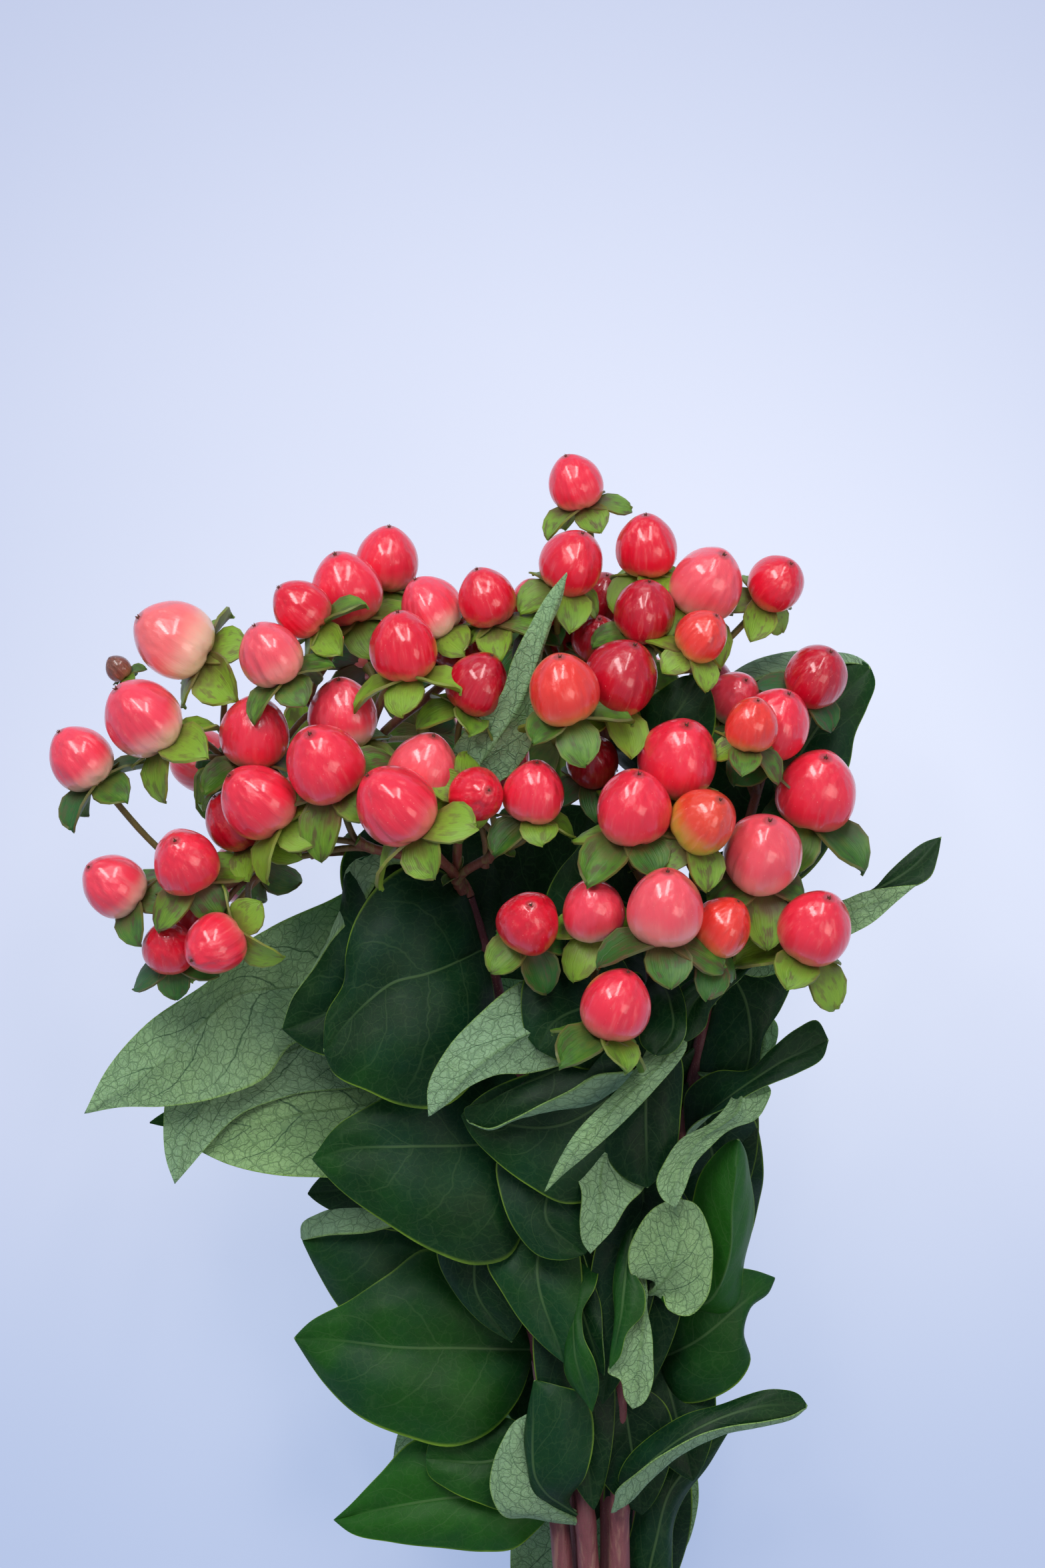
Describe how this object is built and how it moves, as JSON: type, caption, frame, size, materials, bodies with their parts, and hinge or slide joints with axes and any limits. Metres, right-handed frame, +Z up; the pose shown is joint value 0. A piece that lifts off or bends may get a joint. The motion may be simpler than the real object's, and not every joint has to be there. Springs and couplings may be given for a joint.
{
  "type": "hypericum berry bunch",
  "caption": "Gathered bunch of cut hypericum stems in fruit: glossy egg-shaped berries over leafy sepals and broad leaves, tied low on the bare stems and lying on its back.",
  "frame": {"origin": "on the surface that the bunch rests on, under the middle of its box", "axes": "+Y from the cut ends to the berries, +Z up out of the front of the bunch, +X to the right seen from the front"},
  "size_m": [0.1562, 0.3995, 0.096],
  "materials": {
    "leaf": "satin leaf skin, pale grey-green underside",
    "bark": "smooth reddish brown bark",
    "berry": "glossy coral red skin, paler at the base",
    "sepal": "satin yellow-green with a brown blush",
    "band": "matt natural rubber"
  },
  "bodies": {
    "root": {"leafy_stem_1": "leaf", "leafy_stem_2": "leaf", "leafy_stem_3": "leaf", "leafy_stem_4": "leaf", "leafy_stem_5": "leaf", "leafy_stem_6": "leaf", "berry_spray_1": "berry", "berry_spray_2": "berry", "berry_spray_3": "berry", "berry_spray_4": "berry", "berry_spray_5": "berry", "berry_spray_6": "berry", "stem_band": "band"}
  },
  "joints": []
}
